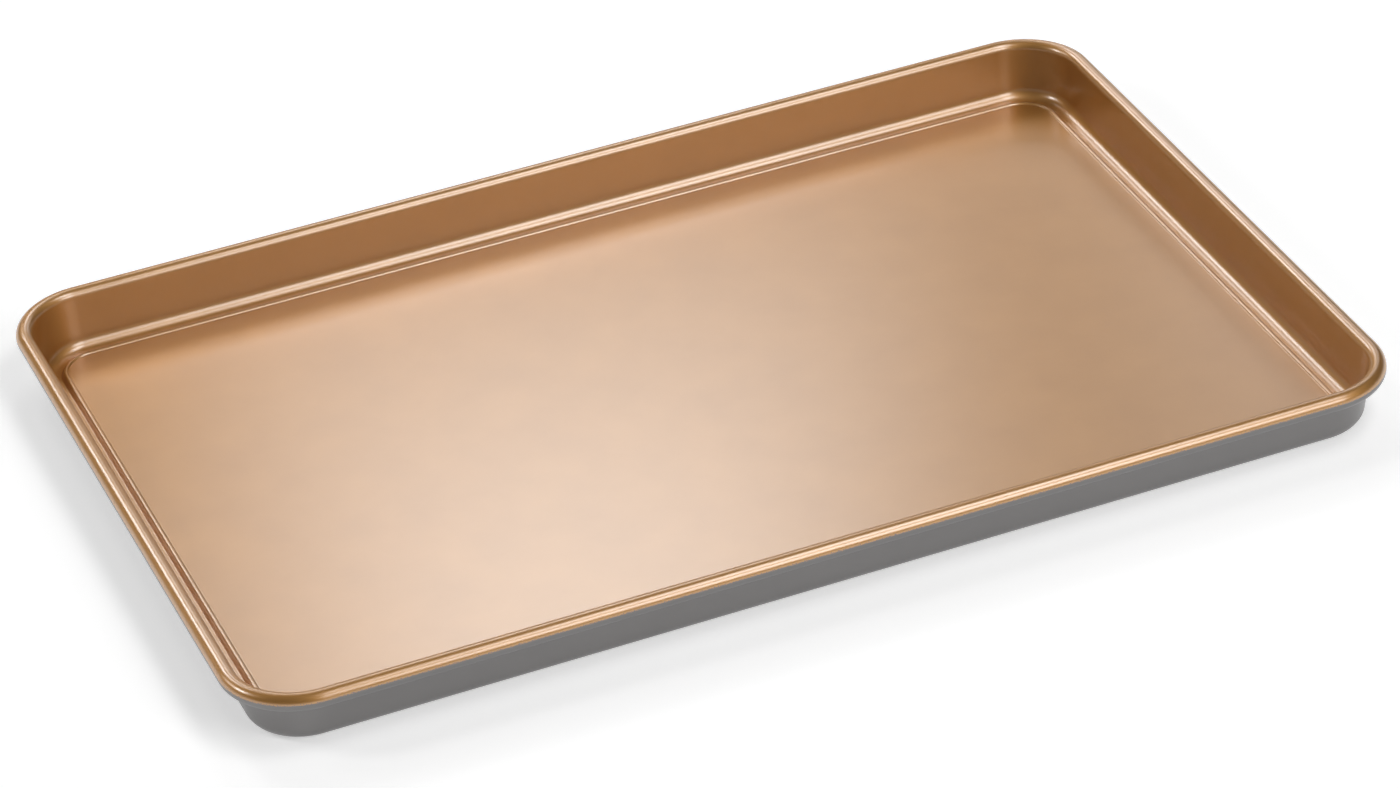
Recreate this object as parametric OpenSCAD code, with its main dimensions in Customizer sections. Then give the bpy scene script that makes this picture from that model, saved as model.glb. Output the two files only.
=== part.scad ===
/* [Tray] */
// Inside length of the opening, between the inner edges of the rim
inside_l = 387.3; // [250:0.1:500]
// Inside width of the opening, between the inner edges of the rim
inside_w = 260.3; // [180:0.1:400]
// Height from the floor panel to the top of the rim
depth = 19.45; // [16:0.05:60]
// Plan radius of the inside corner, at the inner edge of the rim
inside_corner_r = 20.65; // [18:0.05:60]
// Outward lean of the walls, in degrees
wall_lean = 8; // [3:0.5:20]
/* [Sheet] */
// Thickness of the bare steel sheet
sheet_t = 0.7; // [0.5:0.05:1]
// Thickness of the gold coating inside
inner_coat_t = 0.05; // [0.04:0.01:0.1]
// Thickness of the grey coating outside
outer_coat_t = 0.05; // [0.04:0.01:0.1]
/* [Bottom] */
// Radius of the sheet's inner face between wall and foot
bottom_r = 4.4; // [3:0.1:8]
// Width of the flat foot that the pan stands on
foot_w = 0.7; // [0.5:0.1:3]
// Height of the floor panel above the foot
panel_rise = 1.3; // [1:0.1:2]
// Height of the low lip round the floor panel
lip_h = 0.55; // [0.45:0.05:1]
// Slope of the lip's inner side, in degrees
lip_slope = 45; // [40:1:50]
// Radius of the sheet's inner face where the panel turns up into the lip
lip_r = 0.4; // [0.3:0.05:0.6]
// Slope of the step from the foot up to the lip, in degrees
step_slope = 60; // [40:1:70]
// Radius of the sheet's inner face where the step leaves the foot
step_low_r = 0.55; // [0.3:0.05:1]
// Radius of the sheet's under face in the lip
step_top_r = 0.2; // [0.15:0.05:0.4]
/* [Rim] */
// Diameter of the wire inside the rim
wire_d = 4.3; // [3:0.1:6]
// Gap all round the wire, inside the curl
wire_clear = 0.05; // [0.02:0.01:0.15]
// Gap between the wire's two ends
wire_end_gap = 1; // [0.3:0.1:3]
// Gap between the end of the curl and the wall
curl_gap = 0.35; // [0.2:0.05:0.6]
// Height of the gold coating's edge on the outside of the rim, in degrees above level
gold_edge = 8; // [-20:1:40]
/* [Hidden] */
$fn = 96;
// Rounds are this much fuller than tangent, so that they cross the flats cleanly
ease = 0.001;
// Levels of the sheet's inner face, from the surface that the pan stands on
foot_z = outer_coat_t + sheet_t;
panel_z = foot_z + panel_rise;
rim_top_z = panel_z + inner_coat_t + depth;
// Round of the rim, in a cut across the wall
curl_in_r = wire_d / 2 + wire_clear;
curl_out_r = curl_in_r + sheet_t;
bead_r = curl_out_r + inner_coat_t;
// The rim's centre line, a rounded rectangle
rim_r = inside_corner_r + bead_r;
half_l = inside_l / 2 + bead_r;
half_w = inside_w / 2 + bead_r;
straight_l = 2 * (half_l - rim_r);
straight_w = 2 * (half_w - rim_r);
// In the cut, x starts at the centre of the corner, so the rim's centre lies at rim_r
rim_c = [rim_r, rim_top_z - bead_r];
// Directions in the cut: out of the wall's outer face, up the wall, and out of the faces of step and lip
out_of_wall = [cos(wall_lean), -sin(wall_lean)];
up_wall = [sin(wall_lean), cos(wall_lean)];
out_of_step = [sin(step_slope), cos(step_slope)];
out_of_lip = [-sin(lip_slope), cos(lip_slope)];
// Centre of the bottom radius, which touches the foot and the wall
bottom_z = foot_z + bottom_r;
bottom_drop = rim_c[1] - bottom_z;
bottom_x = rim_r - (curl_out_r + bottom_r) / cos(wall_lean) - bottom_drop * tan(wall_lean);
bottom_c = [bottom_x, bottom_z];
// Step from the foot up to the top of the lip: two rounds joined by a flat face
top_r = sheet_t + step_top_r;
step_bend = step_low_r + top_r;
step_len = (panel_rise + lip_h - step_bend * (1 - cos(step_slope))) / sin(step_slope);
foot_x = bottom_x - foot_w;
top_x = foot_x - step_bend * sin(step_slope) - step_len * cos(step_slope);
low_c = [foot_x, foot_z + step_low_r];
top_c = [top_x, panel_z + lip_h - top_r];
// The lip's inner side, down to the panel: the upper round again, a flat face and a hollow round
lip_bend = lip_r + top_r;
lip_len = (lip_h - lip_bend * (1 - cos(lip_slope))) / sin(lip_slope);
panel_x = top_x - lip_bend * sin(lip_slope) - lip_len * cos(lip_slope);
lip_c = [panel_x, panel_z + lip_r];
// The curl stops short of the wall. Angles are anticlockwise from level, outwards.
curl_reach = acos((curl_in_r - curl_gap) / curl_out_r);
curl_end = curl_reach - 180 - wall_lean;
curl_tip = rim_c + (curl_out_r + 2 * outer_coat_t) * [cos(curl_end), sin(curl_end)];
// Angle by which the cutter for the coatings runs past the end of the curl
past_curl = 10;
// Reach of the cutters, longer than anything in the cut, and a level below the pan
big = 3 * (rim_r + rim_top_z);
below = -bottom_r;

// What lies outside and below the sheet's inner face, when that face is moved by d.
// A positive d moves it towards the inside of the pan.
module beyond(d) {
    tip_foot = curl_tip - (curl_tip[1] - below) / up_wall[1] * up_wall;
    difference() {
        union() {
            polygon([
                [0, below],
                [0, panel_z + d],
                [panel_x, panel_z + d],
                lip_c - (lip_r - d) * out_of_lip,
                top_c + (top_r + d) * out_of_lip,
                top_c + (top_r + d) * out_of_step,
                low_c - (step_low_r - d) * out_of_step,
                [foot_x, foot_z + d],
                [bottom_x, foot_z + d],
                bottom_c + (bottom_r - d) * out_of_wall,
                rim_c - (curl_out_r + d) * out_of_wall,
                rim_c,
                curl_tip,
                tip_foot
            ]);
            translate(top_c)
                circle(r = top_r + d + ease);
            translate(rim_c)
                circle(r = curl_out_r + d + ease);
        }
        // Hollow rounds, each kept to its own side of the lip or of the foot's middle
        intersection() {
            translate(lip_c)
                circle(r = lip_r - d + ease);
            translate([top_x - big, 0])
                square(big);
        }
        intersection() {
            translate(low_c)
                circle(r = step_low_r - d + ease);
            translate([foot_x + foot_w / 2 - big, 0])
                square(big);
        }
        intersection() {
            translate(bottom_c)
                circle(r = bottom_r - d + ease);
            translate([foot_x + foot_w / 2, below])
                square(big);
        }
    }
}

// The cut of a layer between two positions of the sheet's inner face
module layer(low, high) {
    difference() {
        beyond(high);
        beyond(low);
    }
}

// Lower outer part of the rim in the cut, from the gold coating's edge to past the end of the curl
module rim_underside() {
    last = curl_end - past_curl;
    steps = 6;
    rays = [for (i = [0 : steps]) last + (gold_edge - last) * i / steps];
    translate(rim_c)
        intersection() {
            circle(r = curl_out_r + 2 * max(inner_coat_t, outer_coat_t));
            polygon([[0, 0], for (a = rays) big * [cos(a), sin(a)]]);
        }
}

// Everything in the cut below the tip of the curl and on the wall's side of it
module below_curl() {
    translate(curl_tip)
        rotate(-wall_lean)
            translate([-big, -big])
                square(big);
}

// Carries the cut round the rounded rectangle: four straight sides and four quarter turns
module carry_round() {
    for (turn = [0, 180])
        rotate(turn) {
            translate([straight_l / 2, 0, 0])
                rotate([90, 0, 0])
                    linear_extrude(height = straight_w, center = true)
                        children();
            translate([0, straight_w / 2, 0])
                rotate([90, 0, 90])
                    linear_extrude(height = straight_l, center = true)
                        children();
            translate([straight_l / 2, straight_w / 2, 0])
                rotate_extrude(angle = 90)
                    children();
            translate([-straight_l / 2, straight_w / 2, 0])
                rotate(90)
                    rotate_extrude(angle = 90)
                        children();
        }
}

// Middle of the floor, for a layer between two positions of the sheet's inner face
module floor_middle(low, high) {
    translate([0, 0, panel_z + (low + high) / 2])
        cube([straight_l, straight_w, high - low], center = true);
}

// The pressed sheet, its rim curled over the wire
module pan_shell() {
    color("#8f9296") {
        carry_round()
            layer(-sheet_t, 0);
        floor_middle(-sheet_t, 0);
    }
}

// The wire in the rim, its two ends meeting at the middle of a long side
module rim_wire() {
    color("#6f7377")
        difference() {
            carry_round()
                translate(rim_c)
                    circle(d = wire_d);
            translate([0, half_w, rim_c[1]])
                cube([wire_end_gap, 2 * wire_d, 2 * wire_d], center = true);
        }
}

// Gold coating on the inside, over the rim's top and down its outer face
module inner_coat() {
    color("#c69c6d") {
        carry_round()
            difference() {
                layer(0, inner_coat_t);
                rim_underside();
            }
        floor_middle(0, inner_coat_t);
    }
}

// Grey coating on the underside, on the wall's outside and on the lower part of the rim
module outer_coat() {
    color("#6e6c6b") {
        carry_round() {
            intersection() {
                layer(-sheet_t - outer_coat_t, -sheet_t);
                below_curl();
            }
            intersection() {
                layer(0, outer_coat_t);
                rim_underside();
            }
        }
        floor_middle(-sheet_t - outer_coat_t, -sheet_t);
    }
}

pan_shell();
rim_wire();
inner_coat();
outer_coat();
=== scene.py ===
import logging
import math
from dataclasses import dataclass, field
from enum import Enum
from typing import Any

import bmesh
import bpy
import numpy as np
from mathutils import Matrix, Vector


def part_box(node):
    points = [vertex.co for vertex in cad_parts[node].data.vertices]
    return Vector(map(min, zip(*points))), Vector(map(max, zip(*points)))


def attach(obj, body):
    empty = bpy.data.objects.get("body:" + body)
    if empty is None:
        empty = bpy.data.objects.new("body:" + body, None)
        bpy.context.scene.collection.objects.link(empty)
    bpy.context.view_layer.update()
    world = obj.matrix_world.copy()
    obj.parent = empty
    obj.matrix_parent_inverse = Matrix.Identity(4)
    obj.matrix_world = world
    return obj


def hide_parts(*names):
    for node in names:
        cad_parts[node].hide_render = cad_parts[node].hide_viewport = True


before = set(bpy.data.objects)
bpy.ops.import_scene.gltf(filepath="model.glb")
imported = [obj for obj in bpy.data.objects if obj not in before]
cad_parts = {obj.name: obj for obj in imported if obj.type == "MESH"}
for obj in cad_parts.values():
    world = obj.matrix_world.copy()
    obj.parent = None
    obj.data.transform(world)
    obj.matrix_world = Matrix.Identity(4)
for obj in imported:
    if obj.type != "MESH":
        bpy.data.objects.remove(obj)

MM = 0.001
BODY = "root"
EDGE_DISTANCE = "edge_distance"
FAR_FROM_EDGE = 1.0
MERGE_DISTANCE = 1e-7
SHARP_ANGLE = math.radians(50)
WHITE = (1.0, 1.0, 1.0, 1.0)

# The points of a grid, and the faces between them as rows of point numbers.
Grid = tuple[np.ndarray, np.ndarray]

log = logging.getLogger("jelly_roll_pan")


class Node(Enum):
    """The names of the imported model's nodes."""

    SHELL = "pan_shell"
    WIRE = "rim_wire"
    GOLD = "inner_coat"
    GREY = "outer_coat"


class Stop(Enum):
    """Where a line along the cut ends."""

    GOLD_EDGE = "edge of the gold coating, on the outside of the rim"
    CURL_END = "end of the curl, under the rim"
    WALL_TOP = "top of the wall's outer face, level with the end of the curl"


def linear(hex_colour: str) -> tuple[float, float, float, float]:
    """Turns an sRGB hex colour such as "#c69c6d" into a linear colour.

    Args:
        hex_colour: Six hex digits after a hash sign.

    Returns:
        Linear red, green and blue, and an alpha of 1.
    """
    levels = np.array([int(hex_colour[i : i + 2], 16) for i in (1, 3, 5)]) / 255
    values = np.where(levels <= 0.04045, levels / 12.92, ((levels + 0.055) / 1.055) ** 2.4)
    return (*(float(v) for v in values), 1.0)


def towards(angle: float) -> np.ndarray:
    """Returns the unit vector at an angle, in radians anticlockwise from level."""
    return np.array([math.cos(angle), math.sin(angle)])


def arc(centre: np.ndarray, radius: float, start: float, end: float, step: float) -> np.ndarray:
    """Points on a circle: centre plus radius times (cos a, sin a), a going evenly from start to end.

    Args:
        centre: Centre of the circle, in the cut.
        radius: Radius in metres.
        start: First angle in radians.
        end: Last angle in radians.
        step: Largest step between two points, in radians.

    Returns:
        An array of points, both ends included.
    """
    count = max(3, math.ceil(abs(end - start) / step) + 1)
    a = np.linspace(start, end, count)
    return centre + radius * np.stack([np.cos(a), np.sin(a)], axis=1)


def between(a: np.ndarray, b: np.ndarray, guard: float, spacing: float) -> np.ndarray:
    """Points on the straight line from a to b, without its ends.

    The first and last points lie a guard's length from the ends, so that smooth shading stays
    flat on the face between them. The rest divide what is left evenly.

    Args:
        a: Start of the line.
        b: End of the line.
        guard: Distance of the outermost points from the ends, in metres.
        spacing: Largest distance between the others, in metres.

    Returns:
        An array of points.
    """
    length = float(np.linalg.norm(b - a))
    guard = min(guard, length / 4)
    count = max(2, math.ceil((length - 2 * guard) / spacing) + 1)
    share = np.linspace(guard / length, 1 - guard / length, count)[:, None]
    return a + share * (b - a)


def slope_reach(height: float, bend: float, slope: float) -> float:
    """Level distance between the centres of two rounds that a sloping flat face joins.

    The rounds take up bend times (1 - cos slope) of the height and the face the rest, and the
    distance is bend times sin slope plus the face's length times cos slope.

    Args:
        height: Difference in level that the slope climbs.
        bend: Sum of the two radii.
        slope: Slope of the face in radians.

    Returns:
        The distance along x, in metres.
    """
    face = (height - bend * (1 - math.cos(slope))) / math.sin(slope)
    return bend * math.sin(slope) + face * math.cos(slope)


@dataclass(frozen=True)
class PanSizes:
    """The pan's sizes in metres and radians.

    The rim's centre line and the wire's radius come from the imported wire's box. The rest repeat the
    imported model's own sizes.
    """

    sheet: float = 0.7 * MM
    coat: float = 0.05 * MM
    corner_r: float = 23.6 * MM
    wall_lean: float = math.radians(8)
    bottom_r: float = 4.4 * MM
    foot_w: float = 0.7 * MM
    panel_rise: float = 1.3 * MM
    step_slope: float = math.radians(60)
    step_low_r: float = 0.55 * MM
    step_top_r: float = 0.2 * MM
    lip_h: float = 0.55 * MM
    lip_slope: float = math.radians(45)
    lip_r: float = 0.4 * MM
    curl_gap: float = 0.35 * MM
    gold_edge: float = math.radians(8)
    wire_gap: float = 1 * MM
    wire_clear: float = 0.05 * MM
    wire_r: float = field(init=False)
    rim_z: float = field(init=False)
    half_l: float = field(init=False)
    half_w: float = field(init=False)

    def __post_init__(self) -> None:
        """Reads the rim's centre line and the wire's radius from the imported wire."""
        low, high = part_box(Node.WIRE.value)
        wire_r = (high.z - low.z) / 2
        object.__setattr__(self, "wire_r", wire_r)
        object.__setattr__(self, "rim_z", (high.z + low.z) / 2)
        object.__setattr__(self, "half_l", high.x - wire_r)
        object.__setattr__(self, "half_w", high.y - wire_r)

    @property
    def curl_in_r(self) -> float:
        """Inner radius of the curl."""
        return self.wire_r + self.wire_clear

    @property
    def curl_r(self) -> float:
        """Outer radius of the curled steel."""
        return self.curl_in_r + self.sheet

    @property
    def foot_z(self) -> float:
        """Level of the steel's upper face over the foot."""
        return self.sheet + self.coat

    @property
    def panel_z(self) -> float:
        """Level of the steel's upper face on the floor panel."""
        return self.foot_z + self.panel_rise


@dataclass(frozen=True)
class Cut:
    """The cut across the wall: x is the distance from the centre of the corner, z the height."""

    size: PanSizes
    arc_step: float = math.radians(6)
    guard: float = 0.12 * MM
    spacing: float = 3 * MM

    @property
    def rim(self) -> np.ndarray:
        """Centre of the rim."""
        return np.array([self.size.corner_r, self.size.rim_z])

    @property
    def curl_end(self) -> float:
        """Angle at which the curl ends, a gap short of the wall."""
        s = self.size
        return math.acos((s.curl_in_r - s.curl_gap) / s.curl_r) - math.pi - s.wall_lean

    def line(self, offset: float, stop: Stop) -> np.ndarray:
        """The cut's line from the floor's middle outwards, offset from the sheet's upper face.

        It runs level along the panel, up and round the low lip and down the step, over the foot,
        round the bottom radius, up the wall and over the rim. Round stretches are arcs about five
        centres, whose radii grow or shrink by the offset, so that lines at two offsets stay parallel.

        Args:
            offset: Distance from the sheet's upper face, positive towards the inside of the pan.
            stop: Where the line ends.

        Returns:
            An array of (x, z) points.
        """
        s = self.size
        out_of_wall, up_wall = towards(-s.wall_lean), towards(math.pi / 2 - s.wall_lean)
        out_of_step = towards(math.pi / 2 - s.step_slope)
        out_of_lip = towards(math.pi / 2 + s.lip_slope)
        bottom_z = s.foot_z + s.bottom_r
        reach = (s.curl_r + s.bottom_r) / math.cos(s.wall_lean)
        bottom_x = s.corner_r - reach - (s.rim_z - bottom_z) * math.tan(s.wall_lean)
        bottom = np.array([bottom_x, bottom_z])
        top_r = s.sheet + s.step_top_r
        drop = s.panel_rise + s.lip_h
        foot_x = bottom_x - s.foot_w
        top_x = foot_x - slope_reach(drop, s.step_low_r + top_r, s.step_slope)
        panel_x = top_x - slope_reach(s.lip_h, s.lip_r + top_r, s.lip_slope)
        low = np.array([foot_x, s.foot_z + s.step_low_r])
        top = np.array([top_x, s.panel_z + s.lip_h - top_r])
        lip = np.array([panel_x, s.panel_z + s.lip_r])
        panel = np.array([[0, s.panel_z + offset], [panel_x, s.panel_z + offset]])
        # The small rounds of the step and the lip need half as many points as the others.
        step_arc = self.arc_step * 2
        pieces = [
            panel[:1],
            between(panel[0], panel[1], self.guard, self.spacing),
            arc(lip, s.lip_r - offset, -math.pi / 2, -math.pi / 2 + s.lip_slope, step_arc),
            between(
                lip - (s.lip_r - offset) * out_of_lip,
                top + (top_r + offset) * out_of_lip,
                self.guard,
                self.spacing,
            ),
            arc(top, top_r + offset, math.pi / 2 + s.lip_slope, math.pi / 2 - s.step_slope, step_arc),
            between(
                top + (top_r + offset) * out_of_step,
                low - (s.step_low_r - offset) * out_of_step,
                self.guard,
                self.spacing,
            ),
            arc(low, s.step_low_r - offset, -math.pi / 2 - s.step_slope, -math.pi / 2, step_arc),
            between(
                np.array([foot_x, s.foot_z + offset]),
                np.array([bottom_x, s.foot_z + offset]),
                self.guard,
                self.spacing,
            ),
            arc(bottom, s.bottom_r - offset, -math.pi / 2, -s.wall_lean, self.arc_step),
        ]
        wall_foot = bottom + (s.bottom_r - offset) * out_of_wall
        if stop is Stop.WALL_TOP:
            level = (s.curl_r + 2 * s.coat) * math.cos(self.curl_end - math.pi / 2 + s.wall_lean)
            wall_head = self.rim - (s.curl_r + offset) * out_of_wall + level * up_wall
            pieces += [between(wall_foot, wall_head, self.guard, self.spacing), wall_head[None]]
        else:
            wall_head = self.rim - (s.curl_r + offset) * out_of_wall
            end = s.gold_edge if stop is Stop.GOLD_EDGE else self.curl_end
            pieces += [
                between(wall_foot, wall_head, self.guard, self.spacing),
                arc(self.rim, s.curl_r + offset, math.pi - s.wall_lean, end, self.arc_step),
            ]
        return np.concatenate(pieces)

    def layer(self, low: float, high: float, stop: Stop) -> np.ndarray:
        """The outline of a layer: out along its upper line, and back along its lower one."""
        return np.concatenate([self.line(high, stop), self.line(low, stop)[::-1]])

    def band(self) -> np.ndarray:
        """The outline of the grey coating on the lower part of the rim, closed round itself.

        It is an arc about the rim's centre at the coating's outer radius, and one back at the steel's.

        Returns:
            An array of (x, z) points.
        """
        s = self.size
        outer = arc(self.rim, s.curl_r + s.coat, s.gold_edge, self.curl_end, self.arc_step)
        inner = arc(self.rim, s.curl_r, self.curl_end, s.gold_edge, self.arc_step)
        return np.concatenate([outer, inner])


@dataclass(frozen=True)
class Route:
    """The way round the pan: a rounded rectangle of corner centres, straights and quarter turns."""

    size: PanSizes
    corner_steps: int = 48
    long_steps: int = 64
    short_steps: int = 40

    @property
    def half(self) -> np.ndarray:
        """Half the distances between the corners' centres, along the length and the width."""
        return np.array([self.size.half_l, self.size.half_w]) - self.size.corner_r

    def stations(self) -> tuple[np.ndarray, np.ndarray]:
        """The stations round the pan, anticlockwise from where the right side meets the back corner.

        At each corner the base stays at its centre while the direction turns a quarter. Along each
        straight the base moves evenly to the next corner while the direction stays.

        Returns:
            The bases and the unit directions, one row for each station.
        """
        signs = np.array([[1, 1], [-1, 1], [-1, -1], [1, -1]])
        corners = signs * self.half
        bases, directions = [], []
        for turn in range(4):
            a = math.pi / 2 * (turn + np.linspace(0, 1, self.corner_steps + 1))
            here, following = corners[turn], corners[(turn + 1) % 4]
            steps = self.long_steps if turn % 2 == 0 else self.short_steps
            share = np.linspace(0, 1, steps + 1)[1:-1, None]
            bases += [np.repeat(here[None], len(a), axis=0), here + share * (following - here)]
            directions += [
                np.stack([np.cos(a), np.sin(a)], axis=1),
                np.repeat(towards(a[-1])[None], steps - 1, axis=0),
            ]
        return np.concatenate(bases), np.concatenate(directions)

    def carry(self, outline: np.ndarray) -> np.ndarray:
        """Carries an outline round: each point is base plus x times the direction, at height z.

        Args:
            outline: Points (x, z) in the cut.

        Returns:
            An array of stations by outline points by three coordinates.
        """
        bases, directions = self.stations()
        plan = bases[:, None, :] + outline[None, :, :1] * directions[:, None, :]
        height = np.broadcast_to(outline[None, :, 1:], (*plan.shape[:2], 1))
        return np.concatenate([plan, height], axis=2)

    def middle(self, height: float) -> np.ndarray:
        """A level grid over the rectangle between the corners' centres.

        It is divided as the route's straights are, so that its edge meets the route's stations.

        Args:
            height: Its height, in metres.

        Returns:
            An array of rows by columns by three coordinates.
        """
        x = np.linspace(-self.half[0], self.half[0], self.long_steps + 1)
        y = np.linspace(-self.half[1], self.half[1], self.short_steps + 1)
        gx, gy = np.meshgrid(x, y, indexing="ij")
        return np.stack([gx, gy, np.full_like(gx, height)], axis=2)


def grid_faces(rows: int, columns: int, close_rows: bool, close_columns: bool) -> np.ndarray:
    """Quads over a grid of points numbered row by row, joined round where a direction closes.

    Args:
        rows: Number of rows.
        columns: Number of points in a row.
        close_rows: True if the last row joins the first.
        close_columns: True if the last point of a row joins its first.

    Returns:
        An array of quads, each four point numbers.
    """
    i = np.arange(rows if close_rows else rows - 1)
    j = np.arange(columns if close_columns else columns - 1)
    i, j = (g.ravel() for g in np.meshgrid(i, j, indexing="ij"))
    i2, j2 = (i + 1) % rows, (j + 1) % columns
    return np.stack([i * columns + j, i * columns + j2, i2 * columns + j2, i2 * columns + j], axis=1)


def mesh_object(name: str, parts: list[Grid], finish: bpy.types.Material) -> bpy.types.Object:
    """Makes one smooth object from grids of points, merging the points that they share.

    Args:
        name: Name of the object.
        parts: Its grids.
        finish: Material of the whole object.

    Returns:
        The new object, linked to the scene.
    """
    points, faces, first = [], [], 0
    for grid, quads in parts:
        flat = grid.reshape(-1, 3)
        points.append(flat)
        faces += (quads + first).tolist()
        first += len(flat)
    mesh = bpy.data.meshes.new(name)
    mesh.from_pydata(np.concatenate(points).tolist(), [], faces)
    work = bmesh.new()
    work.from_mesh(mesh)
    bmesh.ops.remove_doubles(work, verts=work.verts, dist=MERGE_DISTANCE)
    work.to_mesh(mesh)
    work.free()
    mesh.shade_smooth()
    mesh.set_sharp_from_angle(angle=SHARP_ANGLE)
    mesh.materials.append(finish)
    made = bpy.data.objects.new(name, mesh)
    bpy.context.scene.collection.objects.link(made)
    return made


def mark_edge_distance(made: bpy.types.Object, size: PanSizes) -> None:
    """Stores each point's height above or below the gold coating's edge, on the outside of the rim.

    A point is on the outside if x in the cut, its distance from the rectangle between the corners'
    centres, is more than the rim centre's. Every other point counts as far from the edge.

    Args:
        made: The object to mark.
        size: The pan's sizes.
    """
    mesh = made.data
    points = np.empty(len(mesh.vertices) * 3)
    mesh.vertices.foreach_get("co", points)
    points = points.reshape(-1, 3)
    half = np.array([size.half_l, size.half_w]) - size.corner_r
    x = np.linalg.norm(np.maximum(np.abs(points[:, :2]) - half, 0), axis=1)
    edge = size.rim_z + (size.curl_r + size.coat) * math.sin(size.gold_edge)
    distance = np.where(x > size.corner_r, np.abs(points[:, 2] - edge), FAR_FROM_EDGE)
    mesh.attributes.new(EDGE_DISTANCE, "FLOAT", "POINT").data.foreach_set("value", distance)


def add(
    tree: bpy.types.NodeTree,
    kind: str,
    inputs: dict[str | int, Any] | None = None,
    **settings: Any,
) -> bpy.types.Node:
    """Adds a shader node, with its settings, values and links.

    Args:
        tree: The node tree.
        kind: The node's type name.
        inputs: Socket name or number to a value, or to an output socket to link from.
        **settings: Properties of the node itself.

    Returns:
        The new node.
    """
    node = tree.nodes.new(kind)
    for key, value in settings.items():
        setattr(node, key, value)
    for key, value in (inputs or {}).items():
        if isinstance(value, bpy.types.NodeSocket):
            tree.links.new(value, node.inputs[key])
        else:
            node.inputs[key].default_value = value
    return node


@dataclass(frozen=True)
class MetallicCoating:
    """A baked-on metallic non-stick coating: metal flakes in a clear binder, sprayed on steel.

    The flakes lie almost flat, which gives a soft satin gloss in the flake's colour. The binder adds
    a clear gloss on top, whose highlights are crisper and whiter. Its IOR is above a plain binder's
    1.5, to make that gloss as strong as the real one's. Spray leaves a fine grain and slightly cloudy
    patches, and at the gold edge a few flecks of the other coating. The grain and the flecks are drawn
    coarser than the real ones, which would be too fine to show.
    """

    name: str
    colour: str
    cloud_colour: str
    fleck_colour: str
    fleck_reach: float
    roughness: float
    cloud_roughness: float
    binder: float
    binder_roughness: float
    binder_ior: float = 2.2
    grain: float = 0.45 * MM
    grain_detail: float = 1.0
    grain_height: float = 0.002 * MM
    cloud: float = 22 * MM
    cloud_detail: float = 3.0
    cloud_raggedness: float = 0.55
    cloud_low: float = 0.3
    cloud_high: float = 0.7
    fleck: float = 0.3 * MM
    fleck_level_at_edge: float = 0.46
    fleck_level_at_reach: float = 0.8
    fleck_softness: float = 0.06

    def flecks(self, tree: bpy.types.NodeTree, place: bpy.types.Node) -> bpy.types.NodeSocket:
        """Overspray of the other coating: grains that thin out with the distance from the gold edge.

        A grain shows where a fine noise is above a level that rises with that distance.

        Args:
            tree: The node tree.
            place: The node that gives Object coordinates.

        Returns:
            The socket with the grains' cover, from 0 to 1.
        """
        distance = add(tree, "ShaderNodeAttribute", attribute_name=EDGE_DISTANCE)
        level = add(
            tree,
            "ShaderNodeMapRange",
            {
                "Value": distance.outputs["Fac"],
                "From Max": self.fleck_reach,
                "To Min": self.fleck_level_at_edge,
                "To Max": self.fleck_level_at_reach,
            },
        )
        noise = add(
            tree,
            "ShaderNodeTexNoise",
            {"Vector": place.outputs["Object"], "Scale": 1 / self.fleck, "Detail": self.grain_detail},
        )
        above = add(
            tree,
            "ShaderNodeMath",
            {0: noise.outputs["Fac"], 1: level.outputs["Result"]},
            operation="SUBTRACT",
        )
        cover = add(
            tree,
            "ShaderNodeMapRange",
            {"Value": above.outputs["Value"], "From Max": self.fleck_softness},
        )
        return cover.outputs["Result"]

    def material(self) -> bpy.types.Material:
        """Builds the node tree of the coating.

        One soft noise mixes the two colours and sets the roughness between the two given. The flecks
        lie over that, and a fine noise gives the bump.

        Returns:
            The new material.
        """
        made = bpy.data.materials.new(self.name)
        made.use_nodes = True
        tree = made.node_tree
        tree.nodes.clear()
        place = add(tree, "ShaderNodeTexCoord")
        cloud = add(
            tree,
            "ShaderNodeTexNoise",
            {
                "Vector": place.outputs["Object"],
                "Scale": 1 / self.cloud,
                "Detail": self.cloud_detail,
                "Roughness": self.cloud_raggedness,
            },
        )
        tint = add(
            tree,
            "ShaderNodeMix",
            {
                "Factor": cloud.outputs["Fac"],
                "A": linear(self.colour),
                "B": linear(self.cloud_colour),
            },
            data_type="RGBA",
        )
        colour = add(
            tree,
            "ShaderNodeMix",
            {
                "Factor": self.flecks(tree, place),
                "A": tint.outputs["Result"],
                "B": linear(self.fleck_colour),
            },
            data_type="RGBA",
        )
        roughness = add(
            tree,
            "ShaderNodeMapRange",
            {
                "Value": cloud.outputs["Fac"],
                "From Min": self.cloud_low,
                "From Max": self.cloud_high,
                "To Min": self.roughness,
                "To Max": self.cloud_roughness,
            },
        )
        grain = add(
            tree,
            "ShaderNodeTexNoise",
            {"Vector": place.outputs["Object"], "Scale": 1 / self.grain, "Detail": self.grain_detail},
        )
        bump = add(
            tree,
            "ShaderNodeBump",
            {"Strength": 1.0, "Distance": self.grain_height, "Height": grain.outputs["Fac"]},
        )
        shader = add(
            tree,
            "ShaderNodeBsdfPrincipled",
            {
                "Base Color": colour.outputs["Result"],
                "Metallic": 1.0,
                "Roughness": roughness.outputs["Result"],
                "Normal": bump.outputs["Normal"],
                "Coat Weight": self.binder,
                "Coat Roughness": self.binder_roughness,
                "Coat IOR": self.binder_ior,
            },
        )
        add(tree, "ShaderNodeOutputMaterial", {"Surface": shader.outputs["BSDF"]})
        return made


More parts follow.
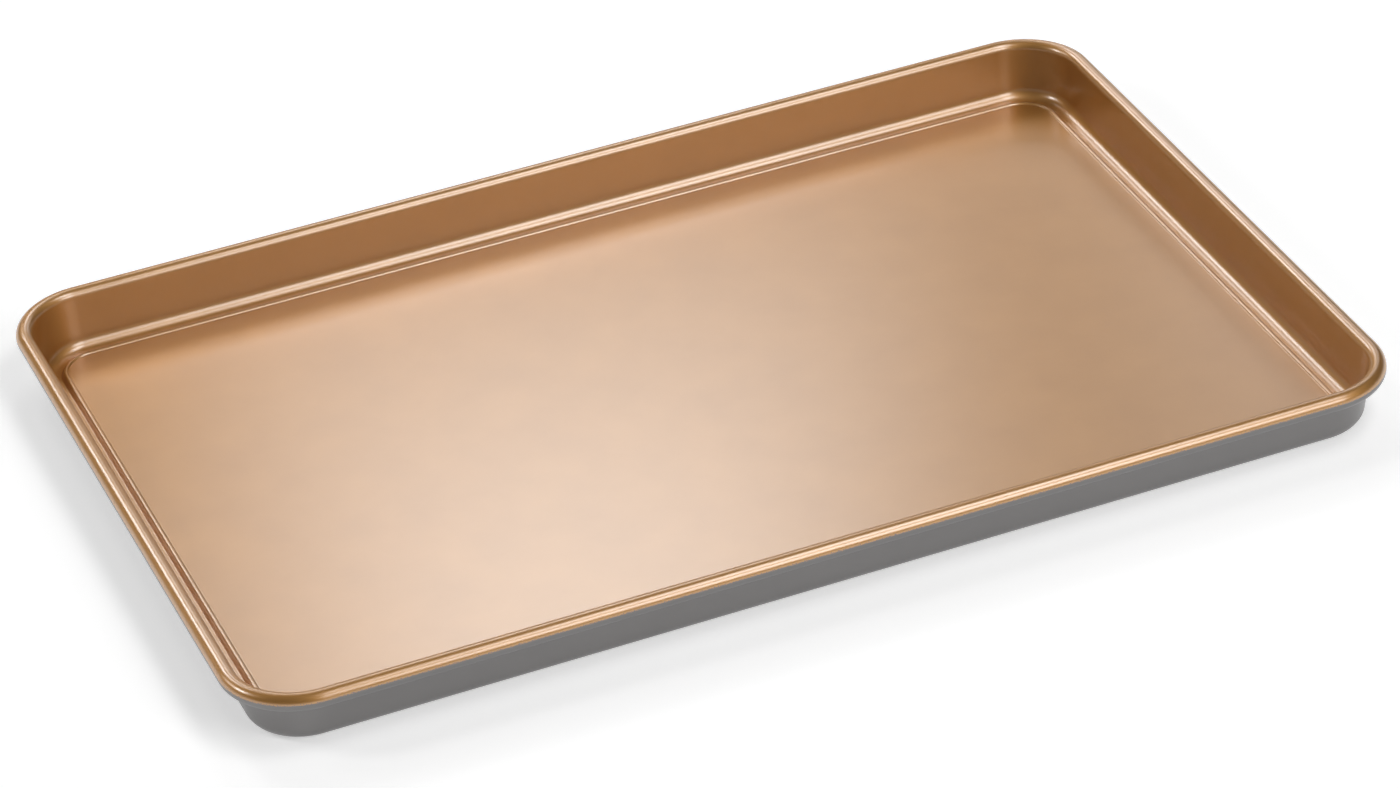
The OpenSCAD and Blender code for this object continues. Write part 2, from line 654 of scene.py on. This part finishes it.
@dataclass(frozen=True)
class BareSteel:
    """Plain uncoated steel, drawn out as it was rolled or pulled: a satin metal with fine long marks.

    The marks run along x and are drawn coarser than the real ones, which would be too fine to show.
    """

    name: str
    colour: str
    roughness: float = 0.35
    roughness_spread: float = 0.08
    mark: float = 0.3 * MM
    mark_detail: float = 2.0
    along_marks: float = 0.05

    def material(self) -> bpy.types.Material:
        """Builds the node tree of the steel, whose roughness follows a noise stretched into marks.

        Returns:
            The new material.
        """
        made = bpy.data.materials.new(self.name)
        made.use_nodes = True
        tree = made.node_tree
        tree.nodes.clear()
        place = add(tree, "ShaderNodeTexCoord")
        drawn = add(
            tree,
            "ShaderNodeMapping",
            {"Vector": place.outputs["Object"], "Scale": (self.along_marks, 1.0, 1.0)},
        )
        marks = add(
            tree,
            "ShaderNodeTexNoise",
            {"Vector": drawn.outputs["Vector"], "Scale": 1 / self.mark, "Detail": self.mark_detail},
        )
        roughness = add(
            tree,
            "ShaderNodeMapRange",
            {
                "Value": marks.outputs["Fac"],
                "To Min": self.roughness - self.roughness_spread,
                "To Max": self.roughness + self.roughness_spread,
            },
        )
        shader = add(
            tree,
            "ShaderNodeBsdfPrincipled",
            {
                "Base Color": linear(self.colour),
                "Metallic": 1.0,
                "Roughness": roughness.outputs["Result"],
            },
        )
        add(tree, "ShaderNodeOutputMaterial", {"Surface": shader.outputs["BSDF"]})
        return made


# Warm gold flakes under a full clear binder: a wide satin sheen with narrow pale highlights on it.
GOLD = MetallicCoating(
    name="champagne_gold_nonstick_coating",
    colour="#c69047",
    cloud_colour="#c28c43",
    fleck_colour="#6f6864",
    fleck_reach=0.8 * MM,
    roughness=0.54,
    cloud_roughness=0.58,
    binder=1.0,
    binder_roughness=0.25,
)
# Grey flakes with less binder over them: a plainer, duller sheen.
GREY = MetallicCoating(
    name="graphite_grey_nonstick_coating",
    colour="#7b7978",
    cloud_colour="#767473",
    fleck_colour="#b98f63",
    fleck_reach=0.3 * MM,
    roughness=0.40,
    cloud_roughness=0.44,
    binder=0.3,
    binder_roughness=0.25,
)
# The sheet's steel is bare inside the curl and at its cut edge. The wire is a little darker and duller.
STEEL = BareSteel(name="bare_cold_rolled_steel", colour="#9a9c9f")
WIRE_STEEL = BareSteel(name="drawn_steel_wire", colour="#85878a", roughness=0.42)


@dataclass
class SheetPiece:
    """A layer of the pan that covers the floor and the wall: the steel sheet or a coating.

    The layer lies between two offsets from the sheet's upper face, low and high.
    """

    name: str
    node: Node
    slot: str
    low: float
    high: float
    stop: Stop
    route: Route
    cut: Cut
    finish: MetallicCoating | BareSteel

    def build(self) -> bpy.types.Object:
        """Joins the part that goes round the pan with the floor's middle, above and below.

        Returns:
            The new object.
        """
        parts = [self.walls(), self.floor(self.high, upwards=True), self.floor(self.low, upwards=False)]
        parts += self.extra()
        made = mesh_object(self.name, parts, self.finish.material())
        mark_edge_distance(made, self.cut.size)
        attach(made, BODY)
        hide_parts(self.node.value)
        return made

    def walls(self) -> Grid:
        """The part that goes round: the layer's outline, carried along the route.

        Returns:
            Its grid.
        """
        outline = self.cut.layer(self.low, self.high, self.stop)
        points = self.route.carry(outline)
        return points, grid_faces(*points.shape[:2], close_rows=True, close_columns=False)

    def floor(self, offset: float, upwards: bool) -> Grid:
        """The middle of the floor on one side of the layer: a level rectangle.

        Args:
            offset: Distance above the sheet's upper face.
            upwards: True if its faces point up.

        Returns:
            Its grid.
        """
        points = self.route.middle(self.cut.size.panel_z + offset)
        quads = grid_faces(*points.shape[:2], close_rows=False, close_columns=False)
        return points, quads[:, ::-1] if upwards else quads

    def extra(self) -> list[Grid]:
        """Parts that this layer has besides."""
        return []


@dataclass
class GreyCoating(SheetPiece):
    """The grey coating, which also covers the lower part of the rim as a band of its own."""

    def extra(self) -> list[Grid]:
        """The band on the rim, closed round itself."""
        points = self.route.carry(self.cut.band())
        return [(points, grid_faces(*points.shape[:2], close_rows=True, close_columns=True))]


@dataclass
class RimWire:
    """The wire that the rim is rolled round, its ends a small gap apart at the back."""

    route: Route
    cut: Cut
    finish: BareSteel
    sides: int = 24

    def build(self) -> bpy.types.Object:
        """Carries a circle round the rim's centre line, and closes both its ends.

        The rounds are numbered from the middle of the back side, where the first and the last move
        apart by half the gap each.

        Returns:
            The new object.
        """
        size = self.cut.size
        outline = arc(self.cut.rim, size.wire_r, 0, -2 * math.pi, 2 * math.pi / self.sides)[:-1]
        points = self.route.carry(outline)
        first = self.route.corner_steps + self.route.long_steps // 2
        points = np.roll(points, -first, axis=0)
        points = np.concatenate([points, points[:1]])
        points[0, :, 0] -= size.wire_gap / 2
        points[-1, :, 0] += size.wire_gap / 2
        parts = [
            (points, grid_faces(*points.shape[:2], close_rows=False, close_columns=True)),
            self.end(points[0], turned=False),
            self.end(points[-1], turned=True),
        ]
        made = mesh_object("wire_in_rim", parts, self.finish.material())
        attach(made, BODY)
        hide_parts(Node.WIRE.value)
        return made

    def end(self, ring: np.ndarray, turned: bool) -> Grid:
        """Closes an end of the wire with a fan of triangles about the middle of its ring.

        Args:
            ring: The points round the end.
            turned: True if the faces turn over, to point out of the other end.

        Returns:
            The fan's points and triangles.
        """
        cap = np.concatenate([ring.mean(axis=0)[None], ring])
        here = np.arange(1, self.sides + 1)
        fan = np.stack([np.zeros_like(here), np.roll(here, -1), here], axis=1)
        return cap, fan[:, ::-1] if turned else fan


@dataclass(frozen=True)
class Softbox:
    """A large soft lamp, aimed at the pan's middle from a direction, its sizes in metres.

    Its radiance is how bright its face is, on the scale on which a white render is 1.
    """

    name: str
    direction: tuple[float, float, float]
    distance: float
    width: float
    height: float
    radiance: float

    def place(self) -> None:
        """Adds the lamp. Its power gives the stated radiance over its whole face."""
        data = bpy.data.lights.new(self.name, "AREA")
        data.shape = "RECTANGLE"
        data.size, data.size_y = self.width, self.height
        data.energy = self.radiance * math.pi * self.width * self.height
        lamp = bpy.data.objects.new(self.name, data)
        way = Vector(self.direction).normalized()
        lamp.location = way * self.distance
        lamp.rotation_euler = way.to_track_quat("Z", "Y").to_euler()
        bpy.context.scene.collection.objects.link(lamp)


# The floor mirrors the lamps at the back as its broad sheen. The others mainly draw the highlights
# along the rims and the radii. A lamp that lies before another stands a few centimetres nearer.
LAMPS = (
    Softbox("front_low_softbox", (0.30, -0.83, 0.48), 1.8, 0.75, 0.377, 4.5),
    Softbox("front_middle_softbox", (0.30, -0.71, 0.64), 1.8, 0.75, 0.377, 5.2),
    Softbox("front_high_softbox", (0.30, -0.39, 0.87), 1.8, 0.8, 0.377, 4.6),
    Softbox("top_softbox", (0.30, -0.20, 0.93), 1.8, 0.7, 0.377, 4.4),
    Softbox("left_softbox", (-0.76, 0.27, 0.59), 1.8, 0.35, 0.38, 11.5),
    Softbox("back_far_left_softbox", (-0.66, 0.54, 0.50), 1.8, 0.4, 0.4, 2.4),
    Softbox("back_left_softbox", (-0.24, 0.78, 0.57), 1.8, 0.28, 0.28, 6.6),
    Softbox("back_middle_softbox", (-0.12, 0.79, 0.60), 1.77, 0.28, 0.28, 6.7),
    Softbox("back_middle_high_softbox", (-0.16, 0.66, 0.74), 1.8, 0.3, 0.3, 3.6),
    Softbox("back_softbox", (0.22, 0.76, 0.61), 1.8, 0.5, 0.57, 2.3),
    Softbox("back_core_softbox", (0.22, 0.76, 0.61), 1.75, 0.29, 0.19, 3.5),
    Softbox("back_right_softbox", (0.55, 0.66, 0.50), 1.8, 0.5, 0.57, 1.15),
    Softbox("back_right_low_softbox", (0.50, 0.80, 0.35), 1.78, 0.35, 0.3, 1.7),
    Softbox("back_high_softbox", (0.20, 0.52, 0.83), 1.8, 0.8, 0.4, 0.6),
)


@dataclass(frozen=True)
class Studio:
    """A plain white paper floor that runs to a pale backdrop, soft lamps, and a dim room above them."""

    lamps: tuple[Softbox, ...]
    paper_colour: str = "#ececec"
    paper_glow: float = 0.45
    floor_size: float = 60.0
    backdrop: float = 0.75
    backdrop_top: float = math.radians(4)
    backdrop_fade: float = math.radians(6)
    room: float = 0.06

    def build(self) -> None:
        """Adds the floor, the lamps and the surround."""
        self.add_floor()
        for lamp in self.lamps:
            lamp.place()
        self.add_surround()

    def add_floor(self) -> None:
        """Adds the level paper floor. Its glow makes it white to the camera and in reflections.

        The glow is added to what the lamps light, so the pan's shadow stays.
        """
        half = self.floor_size / 2
        points = np.array([[-half, -half, 0], [half, -half, 0], [half, half, 0], [-half, half, 0]])
        mesh = bpy.data.meshes.new("studio_floor")
        mesh.from_pydata(points.tolist(), [], [(0, 1, 2, 3)])
        paper = bpy.data.materials.new("white_paper")
        paper.use_nodes = True
        tree = paper.node_tree
        tree.nodes.clear()
        ray = add(tree, "ShaderNodeLightPath")
        seen = ray.outputs["Is Camera Ray"]
        for other in ("Is Glossy Ray", "Is Transmission Ray"):
            seen = add(tree, "ShaderNodeMath", {0: seen, 1: ray.outputs[other]}, operation="MAXIMUM")
            seen = seen.outputs["Value"]
        strength = add(tree, "ShaderNodeMath", {0: seen, 1: self.paper_glow}, operation="MULTIPLY")
        matt = add(tree, "ShaderNodeBsdfDiffuse", {"Color": linear(self.paper_colour)})
        glow = add(tree, "ShaderNodeEmission", {"Strength": strength.outputs["Value"]})
        both = add(tree, "ShaderNodeAddShader", {0: matt.outputs["BSDF"], 1: glow.outputs["Emission"]})
        add(tree, "ShaderNodeOutputMaterial", {"Surface": both.outputs["Shader"]})
        mesh.materials.append(paper)
        floor = bpy.data.objects.new("studio_floor", mesh)
        bpy.context.scene.collection.objects.link(floor)

    def add_surround(self) -> None:
        """Sets the world: a pale backdrop just above the horizon, fading to the dim room over it."""
        world = bpy.data.worlds.new("studio")
        bpy.context.scene.world = world
        world.use_nodes = True
        tree = world.node_tree
        tree.nodes.clear()
        way = add(tree, "ShaderNodeTexCoord")
        height = add(tree, "ShaderNodeSeparateXYZ", {"Vector": way.outputs["Generated"]})
        level = add(
            tree,
            "ShaderNodeMapRange",
            {
                "Value": height.outputs["Z"],
                "From Min": math.sin(self.backdrop_top),
                "From Max": math.sin(self.backdrop_top + self.backdrop_fade),
                "To Min": self.backdrop,
                "To Max": self.room,
            },
            interpolation_type="SMOOTHSTEP",
        )
        surround = add(
            tree,
            "ShaderNodeBackground",
            {"Color": WHITE, "Strength": level.outputs["Result"]},
        )
        add(tree, "ShaderNodeOutputWorld", {"Surface": surround.outputs["Background"]})


@dataclass(frozen=True)
class PhotoCamera:
    """The camera at the photograph's angle. The frame is taken to be 1400 by 788 pixels.

    Its angles are in radians, its aim and distance in metres and its sensor in millimetres.
    """

    yaw: float
    pitch: float
    roll: float
    focal_pixels: float
    aim: tuple[float, float]
    distance: float
    frame_width: int = 1400
    sensor: float = 36.0
    nearest: float = 0.05
    farthest: float = 50.0

    def place(self, aim_height: float) -> None:
        """Adds the camera and makes it the scene's.

        It looks along the yaw, clockwise from the y axis, and down by the pitch. The roll turns it
        about that line, and it stands the distance back from the aim point.

        Args:
            aim_height: Height of the plane in which the aim point lies, in metres.
        """
        forward = Vector(
            (
                math.sin(self.yaw) * math.cos(self.pitch),
                math.cos(self.yaw) * math.cos(self.pitch),
                -math.sin(self.pitch),
            )
        )
        right = Vector((math.cos(self.yaw), -math.sin(self.yaw), 0))
        up = right.cross(forward)
        level_right = math.cos(self.roll) * right + math.sin(self.roll) * up
        level_up = math.cos(self.roll) * up - math.sin(self.roll) * right
        data = bpy.data.cameras.new("photo_camera")
        data.sensor_width = self.sensor
        data.lens = self.focal_pixels * self.sensor / self.frame_width
        data.clip_start, data.clip_end = self.nearest, self.farthest
        camera = bpy.data.objects.new("photo_camera", data)
        turn = Matrix((level_right, level_up, -forward)).transposed()
        camera.matrix_world = turn.to_4x4()
        camera.location = Vector((*self.aim, aim_height)) - forward * self.distance
        bpy.context.scene.collection.objects.link(camera)
        bpy.context.scene.camera = camera


def main() -> None:
    """Builds the pan, the studio and the camera."""
    logging.basicConfig(level=logging.INFO, format="%(message)s")
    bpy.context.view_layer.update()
    size = PanSizes()
    cut, route = Cut(size), Route(size)
    PhotoCamera(
        yaw=math.radians(19.51),
        pitch=math.radians(32.27),
        roll=math.radians(-4.96),
        focal_pixels=5531.4,
        aim=(-7.10 * MM, -29.29 * MM),
        distance=1.8116,
    ).place(aim_height=size.rim_z)
    pieces = [
        SheetPiece(
            name="pressed_sheet",
            node=Node.SHELL,
            slot="bare_steel",
            low=-size.sheet,
            high=0.0,
            stop=Stop.CURL_END,
            route=route,
            cut=cut,
            finish=STEEL,
        ),
        RimWire(route=route, cut=cut, finish=WIRE_STEEL),
        SheetPiece(
            name="gold_coating",
            node=Node.GOLD,
            slot="gold_coating",
            low=0.0,
            high=size.coat,
            stop=Stop.GOLD_EDGE,
            route=route,
            cut=cut,
            finish=GOLD,
        ),
        GreyCoating(
            name="grey_coating",
            node=Node.GREY,
            slot="grey_coating",
            low=-size.sheet - size.coat,
            high=-size.sheet,
            stop=Stop.WALL_TOP,
            route=route,
            cut=cut,
            finish=GREY,
        ),
    ]
    for piece in pieces:
        made = piece.build()
        log.info("%s: %d faces", made.name, len(made.data.polygons))
    Studio(LAMPS).build()
    bpy.context.scene.view_settings.view_transform = "Standard"


if __name__ == "__main__":
    main()
